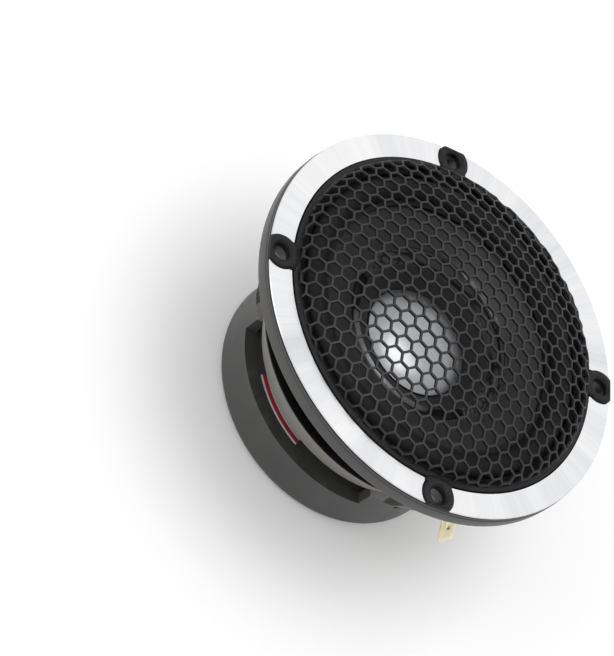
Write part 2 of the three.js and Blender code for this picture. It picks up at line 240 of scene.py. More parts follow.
# %% Cut, and hand a piece over to the frame
def carve(piece, cutter, operation="DIFFERENCE"):
    """Cuts with another object, or adds it, and uses it up."""
    modify(piece, "BOOLEAN", operation=operation, solver="EXACT", object=cutter)
    bpy.data.objects.remove(cutter)


def rod(name, radius, low, high, at):
    """A plain round bar along Z, for cutting holes. Lengths are in millimetres."""
    bpy.ops.object.select_all(action="DESELECT")
    bpy.ops.mesh.primitive_cylinder_add(
        vertices=40, radius=radius * MM, depth=(high - low) * MM,
        location=(at * MM, 0, (low + high) / 2 * MM))
    bpy.ops.object.transform_apply(location=True, rotation=True, scale=True)
    bpy.context.object.name = name
    return bpy.context.object


def settle(piece, material, slot, body="frame", stands_for=()):
    """Gives a piece its material and its body, and hides the CAD nodes that it stands for."""
    piece.data.materials.clear()
    piece.data.materials.append(material)
    if body:
        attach(piece, body)
    if stands_for:
        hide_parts(*stands_for)
    sides = sum(len(p.vertices) - 2 for p in piece.data.polygons)
    print(f"{piece.name}: {sides} triangles in {slot}")


# %% [markdown]
# ## Shared effects
# Real surfaces are never one value all over. Each material could have its own noise nodes,
# but five small node groups, built once, keep the effects alike: fine grain, turned lines
# from a lathe with painted sheen in streaks, worn edges, dust on what faces up, and woven cloth.
# Each puts out a mask, a tone or a height, and each material decides what to do with it.

# %% A builder for node groups and materials
def new_group(name, inputs, outputs):
    """An empty node group with number sockets, and its input and output nodes."""
    group = bpy.data.node_groups.new(name, "ShaderNodeTree")
    for label, value in inputs.items():
        socket = group.interface.new_socket(label, in_out="INPUT", socket_type="NodeSocketFloat")
        socket.default_value = value
    for label in outputs:
        group.interface.new_socket(label, in_out="OUTPUT", socket_type="NodeSocketFloat")
    return group, group.nodes.new("NodeGroupInput"), group.nodes.new("NodeGroupOutput")


def put(tree, kind, inputs=None, **settings):
    """One node in a tree. Inputs are values, or output sockets to link from."""
    node = tree.nodes.new(kind)
    for name, value in settings.items():
        setattr(node, name, value)
    for name, value in (inputs or {}).items():
        if isinstance(value, bpy.types.NodeSocket):
            tree.links.new(value, node.inputs[name])
        else:
            node.inputs[name].default_value = value
    return node


def maths(tree, operation, a, b=0.0):
    return put(tree, "ShaderNodeMath", {0: a, 1: b}, operation=operation).outputs[0]


def vector_maths(tree, operation, a, b=(0, 0, 0), result="Vector"):
    return put(tree, "ShaderNodeVectorMath", {0: a, 1: b}, operation=operation).outputs[result]


def spread(tree, value, low, high, to_low=0.0, to_high=1.0):
    """Maps a value's range low to high onto another range, and clamps it there."""
    inputs = {"Value": value, "From Min": low, "From Max": high, "To Min": to_low, "To Max": to_high}
    return put(tree, "ShaderNodeMapRange", inputs).outputs["Result"]


def place_of(tree):
    return put(tree, "ShaderNodeTexCoord").outputs["Object"]


def noise(tree, where, scale, detail, rough=0.5):
    inputs = {"Vector": where, "Scale": scale, "Detail": detail, "Roughness": rough}
    return put(tree, "ShaderNodeTexNoise", inputs).outputs["Fac"]


# %% Fine grain
def make_grain():
    """Noise on two scales: the fine one is the height, and the broad one is the tone."""
    group, given, out = new_group("Fine grain", {"Scale": 2000.0}, ["Height", "Tone"])
    where = place_of(group)
    fine = noise(group, where, given.outputs["Scale"], 5, 0.6)
    broad = noise(group, where, maths(group, "MULTIPLY", given.outputs["Scale"], 0.09), 3)
    group.links.new(fine, out.inputs["Height"])
    group.links.new(spread(group, broad, 0.3, 0.7), out.inputs["Tone"])
    return group


GRAIN = make_grain()
print("group:", GRAIN.name)


# %% Lathe lines and painted sheen
def make_turned_lines_and_sheen():
    """Height in close rings round the axis, and a tone in streaks that run outwards from it, which is
    painted sheen where it colours a face.
    """
    group, given, out = new_group("Turned lines and painted sheen", {"Lines": 5000.0, "Streaks": 7.0}, ["Height", "Tone"])
    flat = vector_maths(group, "MULTIPLY", place_of(group), (1, 1, 0))
    radius = vector_maths(group, "LENGTH", flat, result="Value")
    across = maths(group, "MULTIPLY", radius, given.outputs["Lines"])
    lines = noise(group, put(group, "ShaderNodeCombineXYZ", {"X": across}).outputs[0], 1, 2)
    streaks = noise(group, vector_maths(group, "NORMALIZE", flat), given.outputs["Streaks"], 6, 0.7)
    group.links.new(lines, out.inputs["Height"])
    group.links.new(spread(group, streaks, 0.32, 0.68), out.inputs["Tone"])
    return group


TURNED_LINES_AND_SHEEN = make_turned_lines_and_sheen()
print("group:", TURNED_LINES_AND_SHEEN.name)


# %% Worn edges and dust
def make_wear():
    """A mask on sharp outer edges, broken up so that the wear is patchy."""
    group, given, out = new_group("Worn edges", {"Start": 0.53, "End": 0.6}, ["Mask"])
    sharp = put(group, "ShaderNodeNewGeometry").outputs["Pointiness"]
    edge = put(group, "ShaderNodeMapRange",
               {"Value": sharp, "From Min": given.outputs["Start"], "From Max": given.outputs["End"]})
    gate = spread(group, noise(group, place_of(group), 900, 4), 0.4, 0.6)
    group.links.new(maths(group, "MULTIPLY", edge.outputs["Result"], gate), out.inputs["Mask"])
    return group


def make_dust():
    """A mask of specks that drift together on faces that look upwards."""
    group, given, out = new_group("Dust", {"Amount": 0.3}, ["Mask"])
    normal = put(group, "ShaderNodeNewGeometry").outputs["Normal"]
    up = put(group, "ShaderNodeSeparateXYZ", {0: normal}).outputs["Z"]
    specks = spread(group, noise(group, place_of(group), 2600, 3), 0.56, 0.68)
    drift = spread(group, noise(group, place_of(group), 90, 2), 0.4, 0.7)
    seen = maths(group, "MULTIPLY", specks, drift)
    upward = maths(group, "MULTIPLY", seen, spread(group, up, 0.2, 0.9))
    group.links.new(maths(group, "MULTIPLY", upward, given.outputs["Amount"]), out.inputs["Mask"])
    return group


WEAR = make_wear()
DUST = make_dust()
print("groups:", WEAR.name, DUST.name)


# %% Woven cloth
def make_weave():
    """Threads along X and along Y, and a tone that wanders over the cloth."""
    group, given, out = new_group("Woven cloth", {"Threads": 700.0}, ["Height", "Tone"])
    where = place_of(group)
    bands = []
    for axis in ("X", "Y"):
        wave = put(group, "ShaderNodeTexWave",
                   {"Vector": where, "Scale": given.outputs["Threads"], "Distortion": 1.5, "Detail": 1.0},
                   wave_type="BANDS", bands_direction=axis)
        bands.append(wave.outputs["Fac"])
    threads = maths(group, "MAXIMUM", *bands)
    group.links.new(threads, out.inputs["Height"])
    group.links.new(spread(group, noise(group, where, 160, 4), 0.35, 0.65), out.inputs["Tone"])
    return group


WEAVE = make_weave()
print("group:", WEAVE.name)

# %% [markdown]
# ## Finishes
# The finishes differ mostly in their numbers, so one function wires them all. The steady
# numbers sit on the Principled shader's own sockets, and what varies comes from the groups:
# two colours mixed by a tone, roughness within a range, and a bump of real depth.


# %% A finish from the shared effects
def new_material(name):
    """A material, its node tree and its shader."""
    material = bpy.data.materials.new(name)
    material.use_nodes = True
    return material, material.node_tree, material.node_tree.nodes["Principled BSDF"]


def effect(tree, group, **inputs):
    """A shared effect in a material, with the material's own values."""
    node = put(tree, "ShaderNodeGroup", node_tree=group)
    for name, value in inputs.items():
        node.inputs[name].default_value = value
    return node


def mix(tree, factor, a, b):
    """Colour a where the factor is 0, and b where it is 1."""
    node = put(tree, "ShaderNodeMix", {"Factor": factor}, data_type="RGBA")
    for index, colour in ((6, a), (7, b)):
        if isinstance(colour, bpy.types.NodeSocket):
            tree.links.new(colour, node.inputs[index])
        else:
            node.inputs[index].default_value = (*colour, 1)
    return node.outputs[2]


def finish_of(name, dark, light, pattern, rough, metal=0.0, shine=0.5, depth=0.01, extra=None, **inputs):
    """A material: two colours mixed by the pattern's tone, a rough range and a bump depth in mm."""
    material, tree, shader = new_material(name)
    source = effect(tree, pattern, **inputs)
    colour = mix(tree, source.outputs["Tone"], dark, light)
    if extra:
        colour = extra(tree, colour)
    tree.links.new(colour, shader.inputs["Base Color"])
    tree.links.new(spread(tree, source.outputs["Tone"], 0, 1, *rough), shader.inputs["Roughness"])
    bump = put(tree, "ShaderNodeBump",
               {"Height": source.outputs["Height"], "Strength": 0.6, "Distance": depth * MM})
    tree.links.new(bump.outputs["Normal"], shader.inputs["Normal"])
    shader.inputs["Metallic"].default_value = metal
    shader.inputs["Specular IOR Level"].default_value = shine
    return material


# %% Wear and dust for a finish
DUST_COLOUR = (0.5, 0.49, 0.47)


def worn(colour):
    """Mixes in a brighter colour along worn edges."""
    def add(tree, base):
        return mix(tree, effect(tree, WEAR).outputs["Mask"], base, colour)
    return add


def dusty(amount):
    """Mixes in a little pale dust."""
    def add(tree, base):
        return mix(tree, effect(tree, DUST, Amount=amount).outputs["Mask"], base, DUST_COLOUR)
    return add


print("dust:", DUST_COLOUR)

# %% [markdown]
# ### The basket's zones
# The basket is one casting with three colours: a grey coat on most of it, a lighter grey at the
# hoop's radius and height, and near black inside the bowl, which is painted shade. Splitting it into
# pieces with a material each would leave seams, so the zones are read from radius and height.

# %% Zones of the casting
HOOP_R, HOOP_Z = (33.0, 38.5), (18.1, 26.95)
PAINTED_SHADE_R, PAINTED_SHADE_Z = (0, 38.4), (27.0, 43.0)
HOOP_LIGHT_GREY = (0.21, 0.203, 0.19)
# Inside the bowl the colour is painted near black: painted shade where little light reaches.
PAINTED_SHADE_INSIDE = (0.008, 0.008, 0.008)


def radius_and_height(tree):
    """A point's distance from the driver's axis, and its height."""
    flat = vector_maths(tree, "MULTIPLY", place_of(tree), (1, 1, 0))
    height = put(tree, "ShaderNodeSeparateXYZ", {0: place_of(tree)}).outputs["Z"]
    return vector_maths(tree, "LENGTH", flat, result="Value"), height


def between(tree, value, low, high):
    """1 where the value is between two lengths in millimetres, and 0 elsewhere."""
    above = maths(tree, "GREATER_THAN", value, low * MM)
    return maths(tree, "MULTIPLY", above, maths(tree, "LESS_THAN", value, high * MM))


def casting_zones(tree, base):
    """A lighter grey at the hoop's radius and height, and painted shade, near black, inside the bowl."""
    radius, height = radius_and_height(tree)
    hoop = maths(tree, "MULTIPLY", between(tree, radius, *HOOP_R), between(tree, height, *HOOP_Z))
    inside = maths(tree, "MULTIPLY", between(tree, radius, *PAINTED_SHADE_R), between(tree, height, *PAINTED_SHADE_Z))
    return mix(tree, inside, mix(tree, hoop, base, HOOP_LIGHT_GREY), PAINTED_SHADE_INSIDE)


print("zones: hoop at", HOOP_Z, "mm, inside at", PAINTED_SHADE_Z, "mm")

# %% Coats, mouldings and cloth
cast_coat = finish_of("cast_coat", (0.054, 0.053, 0.052), (0.064, 0.063, 0.0615), GRAIN, (0.38, 0.5),
                      shine=0.45, depth=0.015, extra=casting_zones, Scale=2200.0)
lug_plastic = finish_of("lug_plastic", (0.006, 0.006, 0.0062), (0.012, 0.012, 0.0122), GRAIN, (0.45, 0.58),
                        shine=0.25, depth=0.012, extra=dusty(0.1), Scale=2600.0)
mesh_coat = finish_of("mesh_coat", (0.016, 0.016, 0.0168), (0.026, 0.026, 0.0275), GRAIN, (0.4, 0.55),
                      shine=0.4, depth=0.01, Scale=1900.0)
foam = finish_of("foam", (0.006, 0.006, 0.006), (0.014, 0.014, 0.014), GRAIN, (0.85, 0.97),
                 shine=0.1, depth=0.1, Scale=1500.0)
rubber = finish_of("rubber", (0.006, 0.006, 0.006), (0.012, 0.012, 0.012), GRAIN, (0.5, 0.66),
                   shine=0.25, depth=0.008, Scale=1400.0)
former_film = finish_of("former_film", (0.3, 0.16, 0.05), (0.5, 0.28, 0.1), GRAIN, (0.3, 0.42),
                        depth=0.01, Scale=900.0)
cloth = finish_of("cloth", (0.012, 0.011, 0.01), (0.03, 0.028, 0.025), WEAVE, (0.75, 0.9),
                  shine=0.2, depth=0.09, Threads=700.0)
phenolic = finish_of("phenolic", (0.035, 0.02, 0.01), (0.075, 0.042, 0.02), WEAVE, (0.45, 0.6),
                     depth=0.01, Threads=900.0)
print("finishes so far:", len(bpy.data.materials))

# %% Metals and ferrite
# The streaks of lighter and darker colour on these turned metals are painted sheen.
spun_silver = finish_of("spun_silver", (0.52, 0.53, 0.545), (0.62, 0.63, 0.645), TURNED_LINES_AND_SHEEN, (0.3, 0.4),
                        metal=1.0, depth=0.0015, Lines=3500.0, Streaks=4.0)
zinc_plate = finish_of("zinc_plate", (0.44, 0.45, 0.46), (0.6, 0.6, 0.61), TURNED_LINES_AND_SHEEN, (0.24, 0.4),
                       metal=0.95, depth=0.005, Lines=4000.0, Streaks=6.0)
ferrite = finish_of("ferrite", (0.02, 0.02, 0.022), (0.05, 0.05, 0.052), GRAIN, (0.6, 0.8),
                    depth=0.05, extra=worn((0.12, 0.12, 0.12)), Scale=1100.0)
black_steel = finish_of("black_steel", (0.008, 0.008, 0.009), (0.016, 0.016, 0.017), GRAIN, (0.34, 0.5),
                        shine=0.3, depth=0.01, Scale=1500.0)
blade_metal = finish_of("blade_metal", (0.8, 0.68, 0.42), (0.95, 0.87, 0.66), GRAIN, (0.22, 0.36),
                        metal=0.9, depth=0.006, extra=worn((0.98, 0.93, 0.8)), Scale=1200.0)
small_metal = finish_of("small_metal", (0.5, 0.5, 0.51), (0.68, 0.68, 0.69), GRAIN, (0.25, 0.4),
                        metal=0.95, depth=0.006, Scale=1500.0)
print("finishes so far:", len(bpy.data.materials))

# %% [markdown]
# ### The cone's gloss
# The cone is matt at its neck and satin outside. Only the band between is glossy, and it
# mirrors the bright cap as a thin arc. Three materials would show hard borders, so the
# roughness itself changes smoothly with the radius.

# %% Cone film
NECK_MATT_R, NECK_ROUGH = (20.0, 19.5), 0.75
OUTER_SATIN_R, OUTER_ROUGH = (23.3, 24.3), 0.45


def cone_finish():
    material = finish_of("cone_film", (0.003, 0.003, 0.0034), (0.006, 0.006, 0.0066), GRAIN, (0.06, 0.1),
                         depth=0.0005, Scale=400.0)
    tree = material.node_tree
    rough = tree.nodes["Principled BSDF"].inputs["Roughness"]
    gloss = rough.links[0].from_socket
    radius = radius_and_height(tree)[0]
    neck = spread(tree, radius, NECK_MATT_R[0] * MM, NECK_MATT_R[1] * MM, 0.0, NECK_ROUGH)
    outer = spread(tree, radius, OUTER_SATIN_R[0] * MM, OUTER_SATIN_R[1] * MM, 0.0, OUTER_ROUGH)
    satin = maths(tree, "MAXIMUM", neck, outer)
    tree.links.new(maths(tree, "MAXIMUM", gloss, satin), rough)
    return material


cone_film = cone_finish()
print("cone film glossy from", NECK_MATT_R[0], "to", OUTER_SATIN_R[0], "mm")

# %% [markdown]
# ### Finishes that follow the wire
# The coil is wound of round wire, and the leads are braided. Modelling every turn costs many
# triangles on pieces that are hardly seen, so both patterns come from a wave on the height:
# close rings for the coil, and slanting ones for the strands.


# %% Wire finishes
def wire_finish(name, dark, light, pitch, slant=0.0):
    """Rings of wire along Z, pitch apart in mm, slanted by adding some of X and Y, painted dark between
    turns and light on their crests.
    """
    material, tree, shader = new_material(name)
    parts = put(tree, "ShaderNodeSeparateXYZ", {0: place_of(tree)})
    tilt = maths(tree, "MULTIPLY", maths(tree, "ADD", parts.outputs["X"], parts.outputs["Y"]), slant)
    phase = maths(tree, "MULTIPLY", maths(tree, "ADD", parts.outputs["Z"], tilt), TURN / (pitch * MM))
    ring = spread(tree, maths(tree, "SINE", phase), -1, 1)
    # The colour is painted shade between the turns and a painted highlight on each crest.
    tree.links.new(mix(tree, ring, dark, light), shader.inputs["Base Color"])
    tree.links.new(spread(tree, ring, 0, 1, 0.45, 0.25), shader.inputs["Roughness"])
    bump = put(tree, "ShaderNodeBump", {"Height": ring, "Strength": 0.8, "Distance": 0.05 * MM})
    tree.links.new(bump.outputs["Normal"], shader.inputs["Normal"])
    shader.inputs["Metallic"].default_value = 0.85
    return material


coil_wire = wire_finish("coil_wire", (0.2, 0.07, 0.03), (0.72, 0.34, 0.17), pitch=0.25)
lead_wire = wire_finish("lead_wire", (0.25, 0.12, 0.06), (0.7, 0.42, 0.24), pitch=0.3, slant=0.6)
print("wire finishes:", coil_wire.name, lead_wire.name)

# %% [markdown]
# ### Bright ring and label
# The trim ring's face is bright metal and its side is grey, and the height decides which of
# the two shows. The label's bands run round the axis, so they come from a ramp on the
# radius, where an image would need a map of its own.

# %% Bright face
BRIGHT_FROM = trim_high.z / MM - 0.3
BRIGHT_BORDER = 0.05
SIDE_COAT = (0.05, 0.05, 0.049)


def bright_finish():
    """Bright turned metal on the face, and the casting's grey coat on the side below it."""
    # The face's streaks of lighter and darker colour are painted sheen; the lines in its bump are real.
    material = finish_of("bright_face", (0.66, 0.665, 0.68), (0.94, 0.94, 0.945), TURNED_LINES_AND_SHEEN, (0.2, 0.32),
                         metal=1.0, depth=0.0006, Lines=9000.0, Streaks=2.2)
    tree = material.node_tree
    shader = tree.nodes["Principled BSDF"]
    face_colour = shader.inputs["Base Color"].links[0].from_socket
    face_rough = shader.inputs["Roughness"].links[0].from_socket
    height = radius_and_height(tree)[1]
    face = spread(tree, height, (BRIGHT_FROM - BRIGHT_BORDER) * MM, (BRIGHT_FROM + BRIGHT_BORDER) * MM)
    tree.links.new(mix(tree, face, SIDE_COAT, face_colour), shader.inputs["Base Color"])
    coat_rough = maths(tree, "MULTIPLY", maths(tree, "SUBTRACT", 1.0, face), 0.2)
    tree.links.new(maths(tree, "ADD", face_rough, coat_rough), shader.inputs["Roughness"])
    tree.links.new(face, shader.inputs["Metallic"])
    return material


bright_face = bright_finish()
print("bright face above", round(BRIGHT_FROM, 2), "mm")

# %% Label film
LABEL_R = (26.4, 30.8)
RED, SILVER, EDGE = (0.42, 0.03, 0.04), (0.7, 0.7, 0.72), (0.6, 0.6, 0.62)
LABEL_BANDS = [(0.0, EDGE), (0.1, RED), (0.48, SILVER), (0.62, RED), (0.9, EDGE)]


def label_finish():
    """Film in plain bands that run round the axis: red, with a silver band and silver edges."""
    material, tree, shader = new_material("label_film")
    radius = radius_and_height(tree)[0]
    ramp = put(tree, "ShaderNodeValToRGB", {"Fac": spread(tree, radius, LABEL_R[0] * MM, LABEL_R[1] * MM)})
    ramp.color_ramp.interpolation = "CONSTANT"
    for i, (place, colour) in enumerate(LABEL_BANDS):
        stop = ramp.color_ramp.elements[i] if i < 2 else ramp.color_ramp.elements.new(place)
        stop.position = place
        stop.color = (*colour, 1)
    grain = effect(tree, GRAIN, Scale=700.0)
    shade = mix(tree, spread(tree, grain.outputs["Tone"], 0, 1, 0, 0.25), (1, 1, 1), (0.6, 0.6, 0.6))
    colour = put(tree, "ShaderNodeMix", data_type="RGBA", blend_type="MULTIPLY")
    colour.inputs["Factor"].default_value = 1
    tree.links.new(ramp.outputs["Color"], colour.inputs[6])
    tree.links.new(shade, colour.inputs[7])
    tree.links.new(colour.outputs[2], shader.inputs["Base Color"])
    tree.links.new(spread(tree, grain.outputs["Tone"], 0, 1, 0.2, 0.32), shader.inputs["Roughness"])
    return material


label_film = label_finish()
print("label bands:", len(LABEL_BANDS))

# %% [markdown]
# ## Basket
# The basket is one die casting: a flange with four screw holes, a bowl that is opened by
# three windows, and a cup round the motor. Spokes modelled alone would show their joints to
# the rings. So the shell is spun whole, with a radius wherever two faces meet, as casting
# leaves it, and each window is cut with a spun block, which leaves the spokes.

# %% Spin the casting
CAST_SIDES = 140
wall = 2.8
flange_r = trim_high.x / MM + 0.2
flange_rear = 45.1
flange_front = trim_low.z / MM
cup_r, cup_inner_r = 34.8, 31.2
cup_corner = 2.8
cast_corner = 0.4
floor_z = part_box("motor_label")[0].z / MM
floor_hole_r, floor_rear = 23.8, floor_z - 2.2
window_top = 43.6
recess_r = 45.4
landing_r = 40.9
landing_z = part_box("surround")[0].z / MM

bowl_outside = eased([(cup_r, 18.4), (41.2, 27.3), (44.3, 36.5), (44.8, window_top)], 6)
bowl_inside = eased([(42, 43.2), (41.5, 37), (38.5, 28.5), (cup_r - wall, 19)], 5)
casting_profile = [
    *arc(cup_inner_r + cast_corner, cast_corner, cast_corner, 180, 270, 2),
    *arc(cup_r - cup_corner, cup_corner, cup_corner, -90, 0, 8),
    (cup_r, floor_z), *bowl_outside,
    (44.95, flange_rear - 0.5), (45.4, flange_rear),
    *arc(flange_r - cast_corner, flange_rear + cast_corner, cast_corner, -90, 0, 3),
    *arc(flange_r - 0.35, flange_front - 0.35, 0.35, 0, 90, 3),
    (recess_r, flange_front), (recess_r, landing_z),
    *arc(landing_r + 0.3, landing_z - 0.3, 0.3, 90, 180, 2),
    (landing_r, flange_rear), *bowl_inside,
    (cup_r - wall, floor_z + 0.6), (cup_r - wall - 0.6, floor_z),
    (floor_hole_r, floor_z), (floor_hole_r, floor_rear), (cup_inner_r, floor_rear),
]
casting = spun("basket_casting", casting_profile, steps=CAST_SIDES)
print("casting spun from", len(casting_profile), "points")

# %% Cut the windows
SPOKES = [-147.1, -32.9, 90.0]
SPOKE_WIDTH = 17.4
BLOCK_INNER, BLOCK_OUTER = 31.5, 53


def window_block(start, end):
    """A block that fills one window. Spin sweeps clockwise, so the profile starts at the end angle."""
    block = draw("window_block", [
        (BLOCK_INNER, floor_z), (BLOCK_OUTER, floor_z), (BLOCK_OUTER, window_top),
        (BLOCK_INNER, window_top), (BLOCK_INNER, floor_z)])
    with editing(block):
        bpy.ops.mesh.remove_doubles(threshold=MERGE_DISTANCE)
        bpy.ops.mesh.select_all(action="SELECT")
        bpy.ops.mesh.spin(steps=36, angle=math.radians(end - start), center=(0, 0, 0), axis=(0, 0, 1))
        bpy.ops.mesh.select_all(action="SELECT")
        bpy.ops.mesh.fill_holes(sides=0)
    block.data.transform(Matrix.Rotation(math.radians(end), 4, "Z"))
    return tidy(block)


for here, after in zip(SPOKES, SPOKES[1:] + [SPOKES[0] + 360]):
    carve(casting, window_block(here + SPOKE_WIDTH / 2, after - SPOKE_WIDTH / 2))
print("windows cut:", len(SPOKES))

# %% Drill the screw holes
SCREW_R = 48.5
SCREW_ANGLES = [-135, -45, 45, 135]
HOLE_R, RELIEF_R, RELIEF_TOP = 2.2, 3.0, 46.6
DRILL_LOW, DRILL_HIGH = 40, 52
carve(casting, around("drill", rod("hole", HOLE_R, DRILL_LOW, DRILL_HIGH, at=SCREW_R), SCREW_ANGLES))
carve(casting, around("relief", rod("wide_hole", RELIEF_R, DRILL_LOW, RELIEF_TOP, at=SCREW_R), SCREW_ANGLES))
print("holes drilled:", len(SCREW_ANGLES))

# %% [markdown]
# ### The hoop
# The hoop stands inside the windows and is cast in one with the three spokes. Its outer face
# leans with the bowl, its ledge carries the foot of the spider, and a small pad on it carries
# the terminal board. The window blocks would cut it away from the first profile, so it is
# spun alone and added afterwards.

# %% Add the hoop and its pad
hoop_profile = [(28.6, 17.8), (32.7, 17.8), (33.0, 17.9), (33.25, 18.2), (38.0, 26.8), (38.2, 27.15),
                (38.05, 27.3), (36.3, 27.3), (31.9, 19.3), (28.6, 19.3)]
PAD_AT = Vector((35.8, 0, 26.1)) * MM
PAD_SIZE = Vector((4.6, 7, 2.38)) * MM
PAD_TURN = math.radians(-6.25)
hoop = spun("hoop", hoop_profile, steps=CAST_SIDES)
bpy.ops.mesh.primitive_cube_add(size=1, location=PAD_AT, scale=PAD_SIZE)
pad = bpy.context.object
bpy.ops.object.transform_apply(location=True, rotation=True, scale=True)
pad.data.transform(Matrix.Rotation(PAD_TURN, 4, "Z"))
carve(hoop, pad, "UNION")
carve(casting, hoop, "UNION")
smooth(casting)
settle(casting, cast_coat, "cast_grey", stands_for=["basket"])

# %% [markdown]
# ## Trim ring
# A thin aluminium ring covers the flange. Its face is cut on a lathe and left bright, and it
# has a pocket for each lug of the grille. The thin dark line round its side is a groove,
# because a painted line would lose its shadow from other sides. The lug's outline comes
# first: pocket and lug share its round head, cut off at the ring's edge, and flaring neck.

# %% The outline of a lug
LUG_POINTS = 96
LUG_EDGE_R = 51.9
HEAD_R = 4.5
NECK_HALF, NECK_FLARE = 3.5, 1.6
FLARE_FROM, FLARE_LENGTH = 2.1, 2.4
NECK_END = 4.5


def lug_reach(angle, margin=0.0):
    """How far a lug reaches from its screw's centre at an angle, where 0 points outwards."""
    cos, sin = math.cos(angle), math.sin(angle)
    outer = -SCREW_R * cos + math.sqrt((SCREW_R * cos) ** 2 + LUG_EDGE_R**2 - SCREW_R**2)
    reach = min(HEAD_R + margin, outer + 2 * margin)
    if cos < -0.5:
        steps = np.linspace(0, 5.2, 105)
        flare = NECK_FLARE * np.clip((-steps * cos - FLARE_FROM) / FLARE_LENGTH, 0, 1) ** 2
        inside = steps[(np.abs(steps * sin) < NECK_HALF + margin + flare) & (-steps * cos <= NECK_END)]
        reach = max(reach, float(inside.max()))
    return reach


def lug_loop(inset, height, margin=0.0, circle=None):
    """Points round the lug's outline, set in from it, or round a circle about the screw."""
    points = []
    for i in range(LUG_POINTS):
        angle = TURN * i / LUG_POINTS
        reach = circle if circle else lug_reach(angle, margin) - inset
        points.append(Vector(((SCREW_R + reach * math.cos(angle)) * MM, reach * math.sin(angle) * MM,
                              height * MM)))
    return points


def loft(name, loops, closed=False):
    """A circle is extruded once for each loop, and its new edge is moved to the loop's points."""
    bpy.ops.object.select_all(action="DESELECT")
    fill = "NGON" if closed else "NOTHING"
    bpy.ops.mesh.primitive_circle_add(vertices=LUG_POINTS, radius=MM, fill_type=fill)
    piece = bpy.context.object
    piece.name = name
    for i, loop in enumerate(loops):
        if i:
            with editing(piece, select=None):
                bpy.ops.mesh.extrude_region_move()
        moved = [v for v in piece.data.vertices if v.select]
        for vertex, point in zip(sorted(moved, key=lambda v: v.index), loop):
            vertex.co = point
    return piece


print("a lug reaches", round(lug_reach(0), 2), "mm outwards and", round(lug_reach(math.pi), 2), "inwards")

# %% Turn the ring and cut its pockets
RING_SIDES = 180
RING_INNER = 45.3
GROOVE, CHAMFER = 0.4, 0.12
POCKET_FLOOR, POCKET_GAP = 49.1, 0.22
RING_HOLE_R, RING_DRILL_LOW = 2.9, 47
ring_top = trim_high.z / MM
ring_side = flange_r - 0.2
ring_profile = [
    (RING_INNER, flange_front), (ring_side, flange_front), (ring_side, ring_top - 0.85),
    (ring_side - GROOVE, ring_top - 0.7), (ring_side - GROOVE, ring_top - 0.4), (ring_side, ring_top - 0.3),
    (ring_side, ring_top - CHAMFER), (ring_side - CHAMFER, ring_top), (RING_INNER + CHAMFER, ring_top),
    (RING_INNER, ring_top - CHAMFER),
]
ring = spun("trim_ring_face", ring_profile, steps=RING_SIDES)
pocket_loops = [lug_loop(0, height, POCKET_GAP) for height in (POCKET_FLOOR, DRILL_HIGH)]
pocket = tidy(loft("pocket", pocket_loops, closed=True))
carve(ring, around("pockets", pocket, SCREW_ANGLES))
ring_hole = rod("ring_hole", RING_HOLE_R, RING_DRILL_LOW, DRILL_HIGH, at=SCREW_R)
carve(ring, around("ring_holes", ring_hole, SCREW_ANGLES))
smooth(ring)
settle(ring, bright_face, "bright_ring", stands_for=["trim_ring"])

# %% [markdown]
# ## Grille ring and lugs
# The grille is held by a moulded ring with four lugs. Each lug has a soft, pillowed top and a
# countersunk hole. A cut block would have hard edges, so the lug is lofted instead: one loop
# of points follows its outline, smaller loops round the top, and the last ones are circles
# that run down the countersink. One lug is made and copied round the ring.

# %% Loft one lug and copy it
LUG_LOW, LUG_TOP = 49.15, 50.75
PILLOW = ((0.06, 0.45), (0.22, 0.18), (0.45, 0.04))
COUNTERSINK = ((3.0, 0.0), (2.85, 0.06), (2.35, 0.55), (HOLE_R, 0.7))


def make_lug():
    """Loops (inset, depth) round the pillowed top, then circles (radius, depth) down the hole."""
    loops = [lug_loop(0, LUG_LOW), lug_loop(0, LUG_TOP - 0.75)]
    loops += [lug_loop(inset, LUG_TOP - down) for inset, down in PILLOW]
    loops += [lug_loop(0, LUG_TOP - down, circle=radius) for radius, down in COUNTERSINK]
    loops.append(lug_loop(0, LUG_LOW, circle=HOLE_R))
    lug = loft("lug", loops)
    with editing(lug, select="DESELECT"):
        bpy.ops.mesh.select_non_manifold()
        bpy.ops.mesh.bridge_edge_loops()
    return tidy(lug, math.radians(50))


lugs = around("lugs", make_lug(), SCREW_ANGLES)
RIM_INNER, RIM_OUTER, RIM_TOP = 43.0, 45.0, 50.5
rim = spun("grille_ring_body", [
    (RIM_INNER, LUG_LOW), (RIM_OUTER, LUG_LOW), (RIM_OUTER, RIM_TOP - 0.35),
    (RIM_OUTER - 0.2, RIM_TOP - 0.08), (RIM_OUTER - 0.5, RIM_TOP),
    (RIM_INNER + 0.3, RIM_TOP), (RIM_INNER, RIM_TOP - 0.25)], steps=RING_SIDES)
grille_ring = smooth(join("grille_ring_lugs", rim, lugs), math.radians(45))
settle(grille_ring, lug_plastic, "lug_black", stands_for=["grille_ring"])

# %% [markdown]
# ## Grille mesh
# The grille is a steel sheet with hexagonal holes, pressed into a shallow dome whose edge
# turns down into a short rim. Cutting five hundred holes into a finished dome is slow, so it
# is made in the press shop's order. A flat sheet of hexagons is laid out, each is inset to
# leave the web, and the middles are punched out. Then the sheet is pressed over the dome,
# and gets its thickness and rounded edges last.

# %% Lay out and punch the sheet
HOLE_PITCH = 4.045
WEB, ROUNDING = 0.52, 0.13
SHEET = 0.7
PATTERN_TURN = math.radians(43.4)
PATTERN_AT = (-1.87, -1.98)
DOME_EDGE_R = 43.7
DOME_EDGE_Z = ring_top + 2.9
DOME_RISE = 7.5
SHOULDER_R = 42.2


